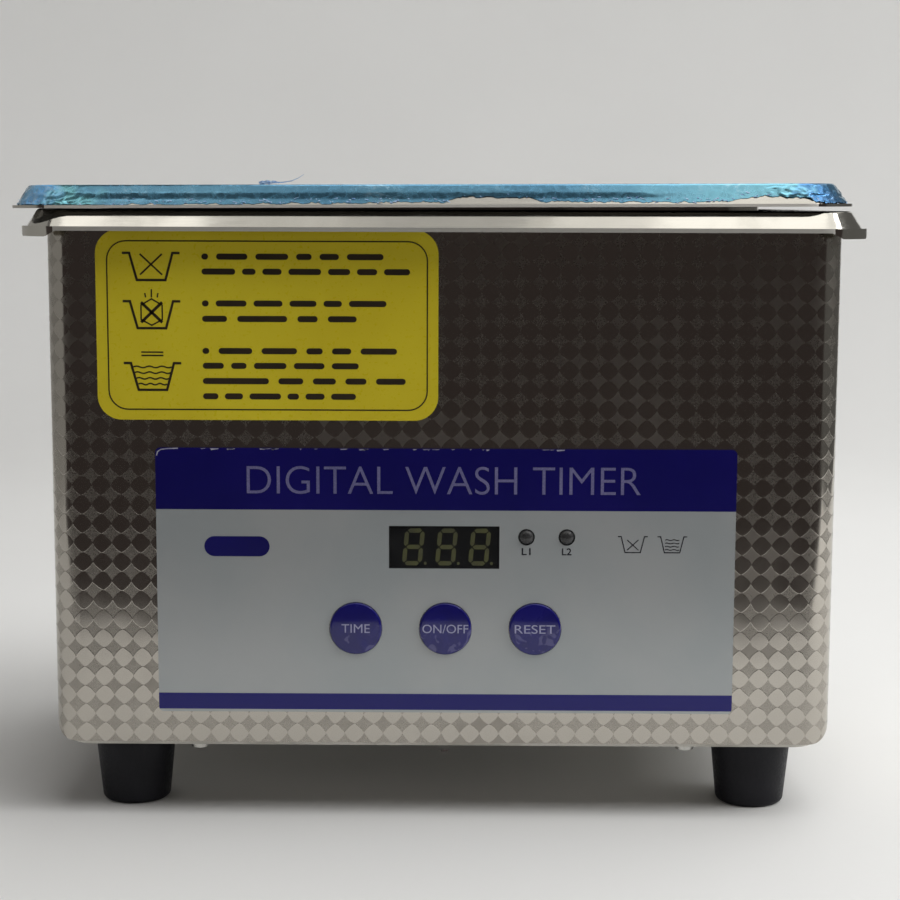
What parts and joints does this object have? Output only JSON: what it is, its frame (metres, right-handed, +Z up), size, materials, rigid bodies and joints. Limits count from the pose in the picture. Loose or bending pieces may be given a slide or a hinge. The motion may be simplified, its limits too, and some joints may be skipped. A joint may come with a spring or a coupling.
{
  "type": "ultrasonic cleaner",
  "caption": "Bench-top ultrasonic cleaner: steel casing on rubber feet, drawn tank with a loose lid and a basket, front panel with display and round buttons, transducer and driver inside.",
  "frame": {"origin": "on the floor, under the middle of the casing", "axes": "+Z up, +X to the right for someone facing the control panel, the panel faces -Y"},
  "size_m": [0.1794, 0.112, 0.1356],
  "materials": {
    "casing_steel": "stainless sheet, rolled with a fine diamond checker of polished and matte squares",
    "plate_steel": "plain mill-finish steel sheet",
    "tank_steel": "drawn stainless sheet, satin inside and bright on the rim",
    "lid_steel": "pressed stainless sheet, bright",
    "blue_film": "thin clear blue protective film, wrinkled and torn along the front",
    "basket_plastic": "moulded blue polypropylene, fine texture",
    "panel_film": "printed polyester film, light grey with a dark blue header and stripe",
    "window_film": "smoked clear window",
    "black_plastic": "black moulded plastic",
    "segment_resin": "unlit olive-yellow display resin",
    "yellow_label": "printed yellow label with thin dark marks",
    "button_blue": "domed dark blue film-faced button",
    "switch_body": "moulded switch body",
    "lamp_resin": "dark diffused lamp resin",
    "foot_rubber": "black moulded rubber",
    "seal_silicone": "translucent white silicone",
    "fastener_steel": "bright zinc plating",
    "brass_hardware": "plain turned and stamped brass",
    "board_laminate": "green solder mask",
    "white_plastic": "white nylon connector",
    "terminal_green": "green moulded terminal block",
    "capacitor_sleeve": "dark shrink sleeve with a bare aluminium top",
    "capacitor_yellow": "yellow moulded box",
    "ferrite": "dark grey ferrite",
    "copper_winding": "enamelled copper wire",
    "aluminium": "turned or extruded aluminium",
    "fuse_glass": "clear glass tube with metal caps",
    "piezo_ceramic": "grey-buff fired ceramic",
    "wire_brown": "brown insulation",
    "wire_blue": "blue insulation",
    "wire_green": "green and yellow insulation",
    "wire_red": "red insulation",
    "ribbon_grey": "grey flat cable",
    "terminal_sleeve": "red insulating sleeves on tinned terminals"
  },
  "bodies": {
    "housing": {"board_headers": "white_plastic", "bottom_plate": "plate_steel", "bottom_plate_screws": "fastener_steel", "bridge_rectifier": "black_plastic", "bulk_capacitor": "capacitor_sleeve", "control_board": "board_laminate", "control_board_screws": "fastener_steel", "control_board_standoffs": "brass_hardware", "display_module": "black_plastic", "display_segments": "segment_resin", "display_window": "window_film", "driver_board": "board_laminate", "driver_board_screws": "fastener_steel", "driver_board_standoffs": "brass_hardware", "earth_stud": "fastener_steel", "earth_wire": "wire_green", "electrode_rings": "brass_hardware", "film_capacitor": "capacitor_yellow", "foot_front_left": "foot_rubber", "foot_front_right": "foot_rubber", "foot_nuts": "fastener_steel", "foot_rear_left": "foot_rubber", "foot_rear_right": "foot_rubber", "foot_screws": "fastener_steel", "fuse": "fuse_glass", "fuse_clips": "brass_hardware", "heatsink": "aluminium", "indicator_leds": "lamp_resin", "inlet_body": "black_plastic", "inlet_pins": "brass_hardware", "inlet_screws": "fastener_steel", "instruction_label": "yellow_label", "live_wire": "wire_brown", "microcontroller": "black_plastic", "neutral_wire": "wire_blue", "outer_casing": "casing_steel", "panel_overlay": "panel_film", "piezo_rings": "piezo_ceramic", "power_transistors": "black_plastic", "ribbon_cable": "ribbon_grey", "rim_seal": "seal_silicone", "tact_switches": "switch_body", "tank": "tank_steel", "terminal_blocks": "terminal_green", "transducer_back_mass": "plate_steel", "transducer_bolt": "fastener_steel", "transducer_front_mass": "aluminium", "transducer_leads": "wire_red", "transformer_core": "ferrite", "transformer_winding": "copper_winding", "wire_terminals": "terminal_sleeve"},
    "lid": {"lid": "lid_steel", "lid_film": "blue_film"},
    "basket": {"basket": "basket_plastic"},
    "time_button": {"time_button": "button_blue", "time_plunger": "black_plastic"},
    "power_button": {"power_button": "button_blue", "power_plunger": "black_plastic"},
    "reset_button": {"reset_button": "button_blue", "reset_plunger": "black_plastic"}
  },
  "joints": [
    {"name": "lid_lift", "type": "slide", "parent": "housing", "child": "lid", "axis": [0, 0, 1], "range_m": [0, 0.14]},
    {"name": "basket_lift", "type": "slide", "parent": "housing", "child": "basket", "axis": [0, 0, 1], "range_m": [0, 0.07]},
    {"name": "time_press", "type": "slide", "parent": "housing", "child": "time_button", "axis": [0, 1, 0], "range_m": [0, 0.00035], "stiffness_N_per_m": 3000},
    {"name": "power_press", "type": "slide", "parent": "housing", "child": "power_button", "axis": [0, 1, 0], "range_m": [0, 0.00035], "stiffness_N_per_m": 3000},
    {"name": "reset_press", "type": "slide", "parent": "housing", "child": "reset_button", "axis": [0, 1, 0], "range_m": [0, 0.00035], "stiffness_N_per_m": 3000}
  ],
  "couplings": [
    {"joint": "basket_lift", "follows": "lid_lift", "ratio": 0.5}
  ]
}
